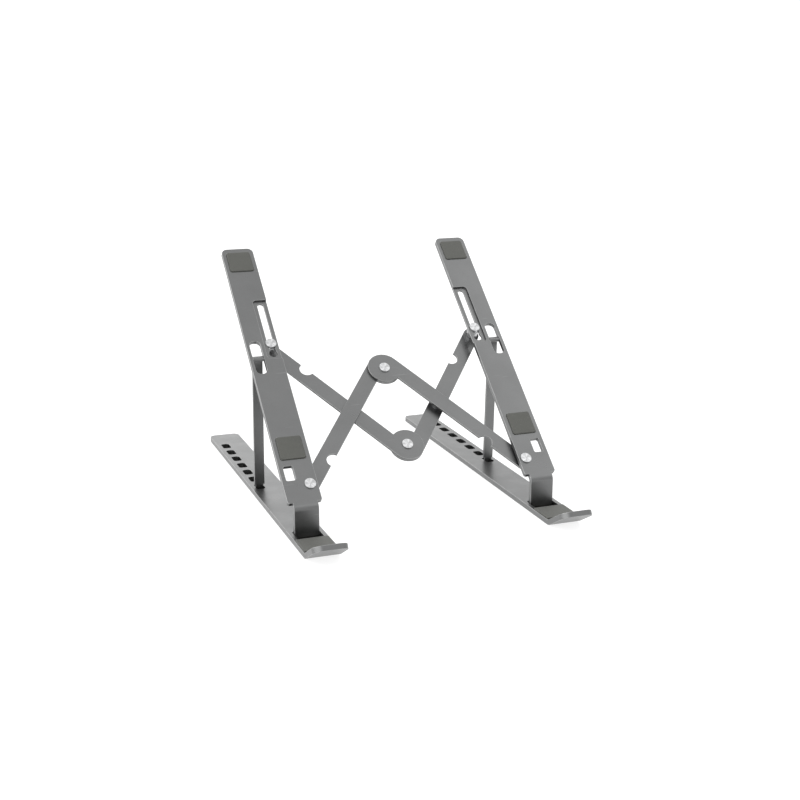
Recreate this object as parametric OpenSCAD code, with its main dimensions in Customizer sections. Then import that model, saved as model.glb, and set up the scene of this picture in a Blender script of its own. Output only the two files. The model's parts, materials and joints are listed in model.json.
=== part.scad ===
// Folding laptop stand: two mirrored side units, each a base bar and a tilted rest arm with a
// prop leg, joined by a scissor of four links. +X is right, -Y is the front with the hooks, +Z is up.
// The origin is on the floor under the middle of the whole stand.

/* [Stand] */
// Distance between the inner edges of the two side units
unit_gap = 136.8; // [105:0.1:165]
// Width of every bar
bar_w = 22; // [20:0.1:27]
// Tilt of the rest arms above level, in degrees
tilt = 39.9; // [30:0.1:48]

/* [Base bar] */
// Length of the flat part of a base bar
base_l = 254; // [230:0.5:310]
// Thickness of a base bar
base_t = 3.5; // [2.9:0.1:4.2]
// Corner radius at the rear of a base bar
base_corner = 4.5; // [1:0.1:7]
// Distance from the front of the flat part to the hinge axis
hinge_y = 30.95; // [25.7:0.05:37.2]
// Gap in front of the tab inside the hinge slot
slot_front = 9.1; // [7.5:0.05:11]
// Gap behind the tab inside the hinge slot
slot_rear = 2.6; // [2.1:0.05:3.2]
// Corner radius of the hinge slot
slot_corner = 1.2; // [0.4:0.1:1.6]

/* [Front hook] */
// Length of the hook lip along its slope
lip_l = 22; // [17:0.1:27]
// Slope of the hook lip, in degrees
lip_slope = 30; // [20:0.5:40]
// Radius of the bend under the lip, on its upper side
lip_bend = 4; // [2:0.1:6]
// Corner radius at the lip's tip
lip_corner = 7; // [3:0.1:9]

/* [Height notches] */
// Number of height notches
notch_n = 7; // [5:1:7]
// Distance from the hinge axis to the middle of the frontmost notch
notch_at = 94.15; // [85:0.05:113]
// Distance between notches
notch_pitch = 16.4; // [13:0.05:19.7]
// Width of a notch across the bar
notch_w = 5.8; // [5.6:0.05:7]
// Length of a notch along the bar
notch_l = 10.8; // [9:0.05:13]
// Corner radius of a notch
notch_corner = 1.8; // [0.5:0.1:2.4]
// Distance from the outer edge to the centre line of notches, windows and leg
leg_line = 6; // [5.6:0.05:7.5]

/* [Rest arm] */
// Length of a rest arm from its shoulder to its top
arm_l = 206.3; // [175:0.1:248]
// Thickness of a rest arm
arm_t = 3; // [2.5:0.1:3.8]
// Radius of the two top corners
arm_corner = 4; // [1:0.1:6]
// Length of the neck from the shoulder to the bend
neck_l = 1.6; // [1.3:0.05:2]
// Width of the neck and of the hinge tab
tab_w = 15.8; // [12:0.1:16.5]
// Radius of the bend at the tab, on its inner side
tab_bend = 2; // [1:0.1:3]
// Height of the tab from the hinge axis to the bend
tab_l = 16.1; // [13.4:0.05:19.4]

/* [Slide pocket] */
// Length of the pocket below the middle of the guide slot's round end
pocket_below = 5; // [4.1:0.1:6]
// Length of the pocket above the middle of the shut slider
pocket_above = 7; // [5.8:0.1:8.4]
// Width of the pocket from the inner edge
pocket_w = 9.9; // [9:0.05:10.8]
// Depth of the pocket
pocket_d = 1.4; // [0.8:0.05:1.7]
// Corner radius of the pocket
pocket_corner = 2.5; // [1:0.1:3.5]
// Distance below the open slider to the round end of the guide slot
key_drop = 8.3; // [7:0.05:10]
// Radius of the round end of the guide slot
key_r = 2.8; // [2.3:0.05:3.4]
// Free length of the guide slot above the shut slider
slot_spare = 2.6; // [0:0.05:3]

/* [Leg windows] */
// Distance from the shoulder to the leg hinge
leg_at = 111.2; // [98:0.1:133]
// Window length below the leg hinge
win_below = 12.8; // [10:0.1:15.5]
// Window length above the leg hinge
win_above = 13.8; // [11:0.1:16.5]
// Distance from the shoulder to the lower window
foot_win_at = 16.1; // [13:0.1:19.4]
// Length of the lower window
foot_win_l = 10.5; // [8:0.1:12.6]
// Width of the lower window
foot_win_w = 6.2; // [5:0.1:7.4]

/* [Prop leg] */
// Width of a leg
leg_w = 6.8; // [6:0.05:8]
// Thickness of a leg
leg_t = 2; // [1.6:0.05:2.5]
// Width of the foot at the leg's lower end
foot_w = 5.2; // [4.2:0.05:5.5]
// Length of the narrow foot
foot_l = 4.7; // [4:0.05:5.7]
// Distance of the foot behind the middle of its notch
foot_back = 0.7; // [0:0.05:1.2]
// Height of the foot's lower end above the floor
foot_lift = 0.9; // [0.6:0.05:1.2]

/* [Scissor links] */
// Distance along a link from its end pivot to its centre pivot
link_l = 112.35; // [98:0.05:134]
// Distance along a link from its end pivot to its crossing pivot
cross_at = 70.1; // [66:0.05:73]
// Sideways offset of the centre pivot from the link's middle line
boss_off = 5.8; // [4.8:0.05:6.9]
// Width of a link
link_w = 11; // [9.5:0.05:11.6]
// Thickness of a link
link_t = 1.6; // [1.3:0.05:2]
// Distance from the inner edge to the pivots
pivot_in = 4.9; // [4.6:0.05:5.4]
// Distance from the shoulder to the fixed pivot
pivot_at = 12.3; // [10.3:0.05:14.8]
// Gap between the two units when the scissor is shut
shut_gap = 1; // [0.6:0.05:1.2]

/* [Rivets and pins] */
// Radius of a rivet head
head_r = 3.6; // [3:0.05:3.8]
// Height of a rivet head
head_h = 0.9; // [0.75:0.05:0.95]
// Radius of a rivet shank
shank_r = 2; // [1.7:0.05:2.4]
// Radius of a spacer
spacer_r = 3.9; // [3.2:0.05:4.2]
// Radius of a hinge pin
pin_r = 0.75; // [0.6:0.05:0.8]
// Depth of a hinge pin in each side wall
pin_seat = 1.6; // [1.2:0.05:1.7]

/* [Soft pads] */
// Length of a rest pad
pad_l = 16.8; // [14:0.1:20]
// Margin from a rest pad to the arm's edges
pad_margin = 2.8; // [2.2:0.1:3.4]
// Thickness of a rest pad
pad_t = 1.5; // [1.2:0.05:1.8]
// Depth of the recess under a rest pad
pad_recess = 0.5; // [0.3:0.05:0.7]
// Distance from the arm's top to the upper pad
pad_top_gap = 3.9; // [3.2:0.1:4.7]
// Distance from the shoulder to the lower pad
pad_low_at = 31.2; // [28:0.1:37]
// Corner radius of a rest pad
pad_corner = 1.5; // [0.5:0.1:2.5]
// Thickness of the tray pad in the hook
tray_t = 0.8; // [0.6:0.05:1]
// Margin of the tray pad inside the base bar
tray_margin = 0.5; // [0.3:0.05:1.5]
// Corner radius of the tray pad
tray_corner = 1; // [0.3:0.1:2]
// Thickness of the foot pads
foot_pad_t = 0.5; // [0.4:0.05:0.8]
// Margin from the foot pads to the edges of the base bar
foot_pad_margin = 1.5; // [1:0.1:3]
// Corner radius of the foot pads
foot_pad_corner = 3; // [1:0.1:4]
// Length of the middle foot pad
foot_pad_mid_l = 40; // [32:0.5:48]
// Space between the front foot pad and the middle one
foot_pad_space = 18; // [15:0.5:21.5]

/* [Clearances] */
// Gap at each side of a hinge tab, a leg and a foot
side_gap = 0.3; // [0.2:0.01:0.45]
// Gap around a shank or a pin that turns
run_gap = 0.05; // [0.02:0.01:0.09]
// Gap between a sliding shank and the sides of its slot
slide_gap = 0.15; // [0.08:0.01:0.2]
// Gap between links
link_gap = 0.15; // [0.12:0.01:0.2]
// Gap between a rest arm and the nearest link
arm_gap = 1.3; // [1.25:0.01:1.6]
// Gap around a pad in its recess
pad_gap = 0.1; // [0.05:0.01:0.2]
// Gap between a folded leg and the rest arm
leg_gap = 0.2; // [0.15:0.01:0.4]
// Gap between a foot pad and the round end of the hinge tab
tab_pad_gap = 0.25; // [0.2:0.01:0.4]
// Play along a rivet between parts that turn
face_gap = 0.05; // [0.02:0.01:0.08]
// Gap around a rivet head where it nests in a link's notch
nest_gap = 1.2; // [1:0.05:1.4]

/* [Hidden] */
$fn = 64;

graphite = [0.50, 0.51, 0.51];
silver = [0.68, 0.69, 0.70];
bright = [0.86, 0.87, 0.88];
olive = [0.38, 0.38, 0.35];

// Sizes that follow from the ones above
cut = 1;
inner_x = unit_gap / 2;
bar_x = inner_x + bar_w / 2;
leg_x = inner_x + bar_w - leg_line;
pivot_x = inner_x + pivot_in;
base_top = foot_pad_t + base_t;
lip_reach = (lip_bend + base_t) * sin(lip_slope) + lip_l * cos(lip_slope);
rear_y = (base_l + lip_reach) / 2;
front_y = rear_y - base_l;
hinge_world = [front_y + hinge_y, foot_pad_t + tab_pad_gap + arm_t / 2];
slot_w = tab_w + 2 * side_gap;
win_w = leg_w + 2 * side_gap;

// Bend between neck and tab, seen from the side in the arm's own plane
bend_out = tab_bend + arm_t;
bend_mid = tab_bend + arm_t / 2;
bend_turn = 90 - tilt;
tab_dir = [-sin(tilt), -cos(tilt)];
bend_dir = [-cos(tilt), sin(tilt)];
bend_c = [-neck_l, -bend_out];
hinge_arm = bend_c + bend_mid * bend_dir + tab_l * tab_dir;
arm_origin = hinge_world - [
    hinge_arm[0] * cos(tilt) - hinge_arm[1] * sin(tilt),
    hinge_arm[0] * sin(tilt) + hinge_arm[1] * cos(tilt)
];
knuckle_r = arm_t / 2;

// Prop leg: hinge in the window, foot in the frontmost notch
leg_hinge = arm_origin + [
    leg_at * cos(tilt) + knuckle_r * sin(tilt),
    leg_at * sin(tilt) - knuckle_r * cos(tilt)
];
leg_off = knuckle_r + leg_gap;
foot_mid = leg_off + leg_t / 2;
notch_first = hinge_world[0] + notch_at;
foot_point = [notch_first + foot_back, foot_lift];
leg_span = norm(foot_point - leg_hinge);
leg_lean = atan2(foot_point[0] - leg_hinge[0], leg_hinge[1] - foot_point[1]) - asin(foot_mid / leg_span);
leg_l = sqrt(leg_span * leg_span - foot_mid * foot_mid);

// Scissor: angles of the links and heights of their layers
pivot_span = sqrt(link_l * link_l + boss_off * boss_off);
boss_turn = atan2(boss_off, link_l);
function link_angle(half) = asin(half / pivot_span) - boss_turn;
open_angle = link_angle(pivot_x);
shut_half = pivot_in + shut_gap / 2;
shut_angle = link_angle(shut_half);
slider_at = pivot_at + 2 * cross_at * cos(open_angle);
slider_top = pivot_at + 2 * cross_at;
key_at = slider_at - key_drop;
centre_high = pivot_at + pivot_span * cos(open_angle + boss_turn);
centre_low = slider_at - pivot_span * cos(open_angle + boss_turn);
cross_x = pivot_x - cross_at * sin(open_angle);
cross_s = pivot_at + cross_at * cos(open_angle);
boss_r = link_w / 2 + boss_off;
nest_r = head_r + nest_gap;
nest_s = 2 * cross_at * cos(shut_angle) - pivot_span * cos(shut_angle + boss_turn);
nest_x = shut_half * cos(shut_angle) - nest_s * sin(shut_angle);
nest_y = shut_half * sin(shut_angle) + nest_s * cos(shut_angle);
slot_half = shank_r + slide_gap;
blind = link_t * 0.6;
chamfer = 0.3;

function layer_top(k) = -arm_t - arm_gap - k * (link_t + link_gap);
function layer_low(k) = layer_top(k) - link_t;

// Puts a right-hand piece on the chosen side
module side(right) {
    mirror([right ? 0 : 1, 0, 0]) children();
}

// The plane of the rest arms: +Y runs up the arm, +Z points out of its upper face
module arm_plane() {
    translate([0, arm_origin[0], arm_origin[1]]) rotate([tilt, 0, 0]) children();
}

// What a corner of radius r loses, for a corner at p with the plate in the direction way from it
module corner_cut(p, way, r) {
    difference() {
        translate(p + [way[0] < 0 ? -r : -cut, way[1] < 0 ? -r : -cut]) square(r + cut);
        translate(p + r * way) circle(r);
    }
}

// Rectangle with four corner radii: low left, low right, high right, high left
module plate(x0, y0, w, l, r) {
    at = [[x0, y0], [x0 + w, y0], [x0 + w, y0 + l], [x0, y0 + l]];
    way = [[1, 1], [-1, 1], [-1, -1], [1, -1]];
    difference() {
        translate([x0, y0]) square([w, l]);
        for (i = [0 : 3]) {
            if (r[i] > 0) corner_cut(at[i], way[i], r[i]);
        }
    }
}

module rounded(x0, y0, w, l, r) {
    plate(x0, y0, w, l, [r, r, r, r]);
}

// A side profile in the Y-Z plane, extruded from x0 over the width w
module along_x(x0, w) {
    translate([x0, 0, 0]) rotate([90, 0, 90]) linear_extrude(w) children();
}

module pin(x0, w, r) {
    translate([x0, 0, 0]) rotate([0, 90, 0]) cylinder(r = r, h = w);
}

// Sector of a disc, from angle a0 over the turn
module sector(r, a0, turn) {
    far = 2 * r;
    intersection() {
        circle(r);
        polygon([
            [0, 0],
            far * [cos(a0), sin(a0)],
            far * [cos(a0 + turn / 2), sin(a0 + turn / 2)],
            far * [cos(a0 + turn), sin(a0 + turn)]
        ]);
    }
}

// Everything within r of a bend's centre and between the bend and the two straight parts that leave it
module bend_core(r, turn, right_l, left_l) {
    lap = 20;
    sector(r, -90 - turn - lap, turn + 2 * lap);
    translate([0, -r]) square([right_l, r]);
    rotate(-turn) translate([-left_l, -r]) square([left_l, r]);
}

// Side profile of a strip that runs level to the right of the bend and is turned up to the left of it
module bent_strip(r, t, turn, right_l, left_l) {
    difference() {
        bend_core(r + t, turn, right_l, left_l);
        bend_core(r, turn, right_l, left_l);
    }
}

// Rivet about the Z axis: head from top_z up, shank down to low_z, tail below it
module rivet(top_z, low_z, head) {
    tail_r = head_r - 0.2;
    foot_z = low_z - head_h;
    start = head ? [
        [0, top_z + head_h - chamfer / 2],
        [head_r * 0.45, top_z + head_h],
        [head_r - chamfer, top_z + head_h],
        [head_r, top_z + head_h - chamfer],
        [head_r, top_z],
        [shank_r, top_z]
    ] : [[0, top_z], [shank_r, top_z]];
    rotate_extrude() polygon(concat(start, [
        [shank_r, low_z],
        [tail_r, low_z],
        [tail_r, foot_z + chamfer],
        [tail_r - chamfer, foot_z],
        [0, foot_z]
    ]));
}

module ring(r, hole, z0, z1) {
    translate([0, 0, z0]) linear_extrude(z1 - z0) difference() {
        circle(r);
        circle(hole);
    }
}

// Base bar
module base_holes() {
    translate([bar_x - slot_w / 2, hinge_world[0] - arm_t / 2 - slot_front])
        rounded(0, 0, slot_w, arm_t + slot_front + slot_rear, slot_corner);
    for (i = [0 : notch_n - 1]) {
        translate([leg_x - notch_w / 2, notch_first - notch_l / 2 + i * notch_pitch])
            rounded(0, 0, notch_w, notch_l, notch_corner);
    }
}

module base_bar() {
    outer_x = inner_x + bar_w;
    lip_at = [0, front_y, base_top + lip_bend];
    difference() {
        translate(lip_at) along_x(inner_x, bar_w)
            bent_strip(lip_bend, base_t, lip_slope, base_l, lip_l);
        translate([0, 0, foot_pad_t - cut]) linear_extrude(base_t + 2 * cut) {
            base_holes();
            corner_cut([inner_x, rear_y], [1, -1], base_corner);
            corner_cut([outer_x, rear_y], [-1, -1], base_corner);
        }
        translate(lip_at) rotate([-lip_slope, 0, 0]) translate([0, 0, -lip_bend - base_t - cut])
            linear_extrude(base_t + 2 * cut) {
                corner_cut([inner_x, -lip_l], [1, 1], lip_corner);
                corner_cut([outer_x, -lip_l], [-1, 1], lip_corner);
            }
    }
}

module base(right) {
    color(silver) side(right) difference() {
        base_bar();
        translate([0, hinge_world[0], hinge_world[1]])
            pin(bar_x - slot_w / 2 - pin_seat, slot_w + 2 * pin_seat, pin_r);
    }
}

module base_hinge_pin(right) {
    color(bright) side(right) translate([0, hinge_world[0], hinge_world[1]])
        pin(bar_x - slot_w / 2 - pin_seat, slot_w + 2 * pin_seat, pin_r);
}

module tray_pad(right) {
    slot_y = hinge_world[0] - arm_t / 2 - slot_front;
    color(olive) side(right) translate([0, 0, base_top]) linear_extrude(tray_t)
        rounded(inner_x + tray_margin, front_y, bar_w - 2 * tray_margin,
            slot_y - front_y - tray_margin, tray_corner);
}

module foot_pad(right, y0, l) {
    color(olive) side(right) linear_extrude(foot_pad_t)
        rounded(inner_x + foot_pad_margin, y0, bar_w - 2 * foot_pad_margin, l, foot_pad_corner);
}

// Rest arm
module neck_profile() {
    translate(bend_c) mirror([0, 1]) bent_strip(tab_bend, arm_t, bend_turn, neck_l + cut, tab_l);
    translate(hinge_arm) circle(knuckle_r);
}

module arm_windows() {
    translate([leg_x - win_w / 2, leg_at - win_below])
        rounded(0, 0, win_w, win_below + win_above, win_w / 2 - 0.4);
    translate([leg_x - foot_win_w / 2, foot_win_at])
        rounded(0, 0, foot_win_w, foot_win_l, 1);
}

module guide_slot() {
    slot_end = slider_top + slot_spare;
    translate([pivot_x - slot_half, key_at]) square([2 * slot_half, slot_end - key_at]);
    translate([pivot_x, slot_end]) circle(slot_half);
    translate([pivot_x, key_at]) circle(key_r);
}

module pad_outline(at, grow) {
    rounded(inner_x + pad_margin - grow, at - grow, bar_w - 2 * pad_margin + 2 * grow,
        pad_l + 2 * grow, pad_corner);
}

pad_high_at = arm_l - pad_top_gap - pad_l;
pocket_low = key_at - pocket_below;
pocket_high = slider_top + pocket_above;

module rest_arm(right) {
    color(graphite) side(right) arm_plane() difference() {
        union() {
            translate([0, 0, -arm_t]) linear_extrude(arm_t)
                plate(inner_x, 0, bar_w, arm_l, [1.5, 1.5, arm_corner, arm_corner]);
            along_x(bar_x - tab_w / 2, tab_w) neck_profile();
        }
        translate([0, 0, -arm_t - cut]) linear_extrude(arm_t + 2 * cut) {
            arm_windows();
            guide_slot();
            translate([pivot_x, pivot_at]) circle(shank_r);
        }
        translate([0, 0, -pocket_d]) linear_extrude(pocket_d + cut)
            plate(inner_x - cut, pocket_low, pocket_w + cut, pocket_high - pocket_low,
                [0, pocket_corner, pocket_corner, 0]);
        translate([0, 0, -pad_recess]) linear_extrude(pad_recess + cut) {
            pad_outline(pad_high_at, pad_gap);
            pad_outline(pad_low_at, pad_gap);
        }
        translate([0, leg_at, -knuckle_r])
            pin(leg_x - win_w / 2 - pin_seat, win_w + 2 * pin_seat, pin_r);
        translate([0, hinge_arm[0], hinge_arm[1]])
            pin(bar_x - tab_w / 2 - cut, tab_w + 2 * cut, pin_r + run_gap);
    }
}

module rest_pad(right, at) {
    color(olive) side(right) arm_plane() translate([0, 0, -pad_recess]) linear_extrude(pad_t)
        pad_outline(at, 0);
}

module leg_hinge_pin(right) {
    color(bright) side(right) arm_plane() translate([0, leg_at, -knuckle_r])
        pin(leg_x - win_w / 2 - pin_seat, win_w + 2 * pin_seat, pin_r);
}

// Prop leg: the profile's origin is its hinge, it hangs down -Z and its plate is behind the hinge
module leg_profile() {
    circle(knuckle_r);
    translate([0, -knuckle_r]) square([leg_off + leg_t - knuckle_r, 2 * knuckle_r]);
    translate([leg_off + leg_t - knuckle_r, 0]) circle(knuckle_r);
    translate([leg_off, -leg_l]) square([leg_t, leg_l]);
}

module support_leg(right) {
    rim = foot_l + cut;
    color(graphite) side(right) translate([0, leg_hinge[0], leg_hinge[1]]) rotate([leg_lean, 0, 0])
        difference() {
            along_x(leg_x - leg_w / 2, leg_w) leg_profile();
            pin(leg_x - leg_w / 2 - cut, leg_w + 2 * cut, pin_r + run_gap);
            for (way = [-1, 1]) {
                translate([leg_x + way * (foot_w + leg_w) / 2 - leg_w / 2, 0, -leg_l - cut])
                    cube([leg_w, 2 * (leg_off + leg_t), rim]);
            }
        }
}

// Scissor link: its end pivot is at the origin and its centre pivot up +Y, offset to +X
module link_outline() {
    difference() {
        union() {
            circle(link_w / 2);
            translate([-link_w / 2, 0]) square([link_w, link_l]);
            translate([boss_off, link_l]) circle(boss_r);
        }
        translate([nest_x, nest_y]) circle(nest_r);
    }
}

module link_place(low_end, right) {
    side(right) arm_plane() {
        if (low_end) {
            translate([pivot_x, pivot_at, 0]) rotate([0, 0, open_angle]) mirror([1, 0, 0]) children();
        } else {
            translate([pivot_x, slider_at, 0]) mirror([0, 1, 0]) rotate([0, 0, open_angle])
                mirror([1, 0, 0]) children();
        }
    }
}

module link(low_end, right, k, end_r, centre_r, cross_r, cross_depth) {
    color(graphite) link_place(low_end, right) difference() {
        translate([0, 0, layer_low(k)]) linear_extrude(link_t) difference() {
            link_outline();
            circle(end_r);
            translate([boss_off, link_l]) circle(centre_r);
        }
        translate([0, cross_at, layer_low(k) - cut]) cylinder(r = cross_r, h = cross_depth + cut);
    }
}

loose_r = shank_r + run_gap;
pivot_layer_left = 1;
pivot_layer_right = 0;
slider_layer_left = 2;
slider_layer_right = 3;

module pivot_link(right) {
    k = right ? pivot_layer_right : pivot_layer_left;
    link(true, right, k, loose_r, right ? loose_r : shank_r, shank_r, blind);
}

module slider_link(right) {
    k = right ? slider_layer_right : slider_layer_left;
    link(false, right, k, shank_r, right ? loose_r : shank_r, loose_r, link_t + cut);
}

module pivot_rivet(right) {
    k = right ? pivot_layer_right : pivot_layer_left;
    color(bright) side(right) arm_plane() translate([pivot_x, pivot_at, 0])
        rivet(0, layer_low(k) - face_gap, true);
}

module pivot_spacer(right) {
    k = right ? pivot_layer_right : pivot_layer_left;
    color(bright) side(right) arm_plane() translate([pivot_x, pivot_at, 0])
        ring(spacer_r, shank_r, layer_top(k) + face_gap, -arm_t);
}

module slider_rivet(right) {
    k = right ? slider_layer_right : slider_layer_left;
    color(bright) side(right) arm_plane() translate([pivot_x, slider_at, 0])
        rivet(-pocket_d + face_gap, layer_low(k), true);
}

module slider_spacer(right) {
    k = right ? slider_layer_right : slider_layer_left;
    color(bright) side(right) arm_plane() translate([pivot_x, slider_at, 0])
        ring(spacer_r, shank_r, layer_top(k), -arm_t - face_gap);
}

module cross_rivet(right) {
    k0 = right ? pivot_layer_right : pivot_layer_left;
    k1 = right ? slider_layer_right : slider_layer_left;
    color(bright) side(right) arm_plane() translate([cross_x, cross_s, 0])
        rivet(layer_low(k0) + blind, layer_low(k1) - face_gap, false);
}

module cross_spacer_right() {
    color(bright) arm_plane() translate([cross_x, cross_s, 0])
        ring(spacer_r - 0.5, shank_r, layer_top(slider_layer_right) + face_gap,
            layer_low(pivot_layer_right));
}

// Rivet through two links: the link in layer grip holds it, and the other one turns on it
module centre_rivet(s, top_k, low_k, grip) {
    color(bright) arm_plane() translate([0, s, 0]) rivet(
        layer_top(top_k) + (grip == top_k ? 0 : face_gap),
        layer_low(low_k) - (grip == low_k ? 0 : face_gap),
        true
    );
}

// The foot pads lie under the whole hinge slot, behind it, and under the whole row of notches
front_pad_y = front_y + foot_pad_margin;
front_pad_l = hinge_world[0] + arm_t / 2 + slot_rear + foot_pad_margin - front_pad_y;
mid_pad_y = front_pad_y + front_pad_l + foot_pad_space;
rear_pad_y = notch_first - notch_l / 2 - foot_pad_margin;
rear_pad_l = rear_y - foot_pad_margin - rear_pad_y;

base(false);  // base_left
base(true);  // base_right
base_hinge_pin(false);  // base_hinge_pin_left
base_hinge_pin(true);  // base_hinge_pin_right
tray_pad(false);  // tray_pad_left
tray_pad(true);  // tray_pad_right
foot_pad(false, front_pad_y, front_pad_l);  // foot_pad_front_left
foot_pad(true, front_pad_y, front_pad_l);  // foot_pad_front_right
foot_pad(false, mid_pad_y, foot_pad_mid_l);  // foot_pad_mid_left
foot_pad(true, mid_pad_y, foot_pad_mid_l);  // foot_pad_mid_right
foot_pad(false, rear_pad_y, rear_pad_l);  // foot_pad_rear_left
foot_pad(true, rear_pad_y, rear_pad_l);  // foot_pad_rear_right
rest_arm(false);  // rest_arm_left
rest_arm(true);  // rest_arm_right
rest_pad(false, pad_high_at);  // upper_pad_left
rest_pad(true, pad_high_at);  // upper_pad_right
rest_pad(false, pad_low_at);  // lower_pad_left
rest_pad(true, pad_low_at);  // lower_pad_right
leg_hinge_pin(false);  // leg_hinge_pin_left
leg_hinge_pin(true);  // leg_hinge_pin_right
support_leg(false);  // support_leg_left
support_leg(true);  // support_leg_right
pivot_rivet(false);  // pivot_rivet_left
pivot_rivet(true);  // pivot_rivet_right
pivot_spacer(false);  // pivot_spacer_left
pivot_spacer(true);  // pivot_spacer_right
pivot_link(false);  // pivot_link_left
pivot_link(true);  // pivot_link_right
slider_rivet(false);  // slider_rivet_left
slider_rivet(true);  // slider_rivet_right
slider_spacer(false);  // slider_spacer_left
slider_spacer(true);  // slider_spacer_right
slider_link(false);  // slider_link_left
slider_link(true);  // slider_link_right
cross_rivet(false);  // cross_rivet_left
cross_rivet(true);  // cross_rivet_right
cross_spacer_right();
centre_rivet(centre_high, pivot_layer_right, pivot_layer_left, pivot_layer_left);  // centre_rivet_upper
centre_rivet(centre_low, slider_layer_left, slider_layer_right, slider_layer_left);  // centre_rivet_lower
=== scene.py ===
"""Folding laptop stand: finished parts, surface finishes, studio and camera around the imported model."""

import json
import math

import bmesh
import bpy
import numpy as np
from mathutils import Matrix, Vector

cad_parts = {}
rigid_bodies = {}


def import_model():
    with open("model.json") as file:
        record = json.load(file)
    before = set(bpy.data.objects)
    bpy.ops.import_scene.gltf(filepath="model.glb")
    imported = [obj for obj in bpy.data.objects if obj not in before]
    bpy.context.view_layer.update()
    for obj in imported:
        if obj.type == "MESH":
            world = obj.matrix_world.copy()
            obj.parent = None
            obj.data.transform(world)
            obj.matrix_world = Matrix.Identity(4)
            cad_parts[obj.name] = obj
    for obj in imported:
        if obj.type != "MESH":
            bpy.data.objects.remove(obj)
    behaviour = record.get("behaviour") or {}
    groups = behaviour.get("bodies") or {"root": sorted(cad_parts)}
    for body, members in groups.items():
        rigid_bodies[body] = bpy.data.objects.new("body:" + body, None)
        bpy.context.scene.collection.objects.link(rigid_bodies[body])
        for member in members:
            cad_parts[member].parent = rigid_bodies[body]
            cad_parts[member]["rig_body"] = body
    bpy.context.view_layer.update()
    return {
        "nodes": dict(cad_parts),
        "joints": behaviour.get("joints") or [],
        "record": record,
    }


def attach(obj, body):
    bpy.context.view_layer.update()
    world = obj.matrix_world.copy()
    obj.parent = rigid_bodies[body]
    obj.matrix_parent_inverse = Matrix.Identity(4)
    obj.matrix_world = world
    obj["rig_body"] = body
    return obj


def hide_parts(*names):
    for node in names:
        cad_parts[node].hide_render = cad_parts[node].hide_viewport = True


bl_info = {
    "name": "Folding Laptop Stand",
    "version": (1, 0, 0),
    "blender": (4, 5, 0),
    "location": "View3D > Sidebar > Stand",
    "description": "Finishes the parts of a folding laptop stand and sets them in a plain studio",
    "category": "Add Mesh",
}

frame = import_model()

MM = 0.001
SIDES = ("left", "right")
UV_NAME = "turned"
EDGE_MARK = "edge_break"


def slot_colour(name):
    """The base colour that the record gives a material slot."""
    for material in frame["record"]["materials"]:
        if material["slot"] == name:
            return tuple(material["base_color"])
    raise ValueError(f"the record has no material slot {name}")


def fold_axis():
    """The direction that the rest arms face, which the links of the scissor turn about."""
    for joint in frame["joints"]:
        if joint["name"] == "fold":
            return np.array(joint["axis"], float)
    raise ValueError("the record has no joint named fold")


FACE_UP = np.eye(3)
ACROSS = FACE_UP[0]
ARM_OUT = fold_axis()
ARM_FACE = np.array([ACROSS, np.cross(ARM_OUT, ACROSS), ARM_OUT])


# --- Measuring the CAD ---------------------------------------------------------------------------

def node_points(node, axes):
    """The CAD node's points along three axes: the product of the points with the rows of axes."""
    mesh = frame["nodes"][node].data
    flat = np.empty(3 * len(mesh.vertices), np.float32)
    mesh.vertices.foreach_get("co", flat)
    return flat.reshape(-1, 3).astype(float) @ axes.T


def node_box(node, axes):
    """The lowest and highest values of the CAD node along three axes."""
    points = node_points(node, axes)
    return points.min(0), points.max(0)


def body_of(node):
    """The CAD body that the node rides on."""
    return frame["nodes"][node]["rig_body"]


# --- Meshes from arrays --------------------------------------------------------------------------

def ring_faces(rings, count, wrap):
    """Four corner numbers of every face of a grid: ring i and i + 1, point j and j + 1, with the last
    point joined to the first, and the last ring joined to the first where wrap is true."""
    i = np.arange(rings if wrap else rings - 1)[:, None]
    j = np.arange(count)[None, :]
    i2, j2 = (i + 1) % rings, (j + 1) % count
    return np.stack(
        [i * count + j, i * count + j2, i2 * count + j2, i2 * count + j], axis=-1
    ).reshape(-1, 4)


def ring_uv(rings, count, wrap):
    """Corner coordinates of those faces: across the ring from 0 to 1, and along the rings from 0 to 1."""
    last = rings if wrap else rings - 1
    i = np.arange(last)[:, None] + np.zeros((1, count))
    j = np.arange(count)[None, :] + np.zeros((last, 1))
    u = np.stack([j, j + 1, j + 1, j], axis=-1) / count
    v = np.stack([i, i, i + 1, i + 1], axis=-1) / last
    return np.stack([u, v], axis=-1).reshape(-1, 4, 2)


def signed_volume(points, faces):
    """A sixth of the sum of a . (b x c) over the triangles, which is negative when a shell is inside out."""
    a, b, c = points[faces[:, 0]], points[faces[:, 1]], points[faces[:, 2]]
    total = np.einsum("ij,ij->i", a, np.cross(b, c)).sum()
    if faces.shape[1] == 4:
        d = points[faces[:, 3]]
        total += np.einsum("ij,ij->i", a, np.cross(c, d)).sum()
    return total / 6


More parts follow.
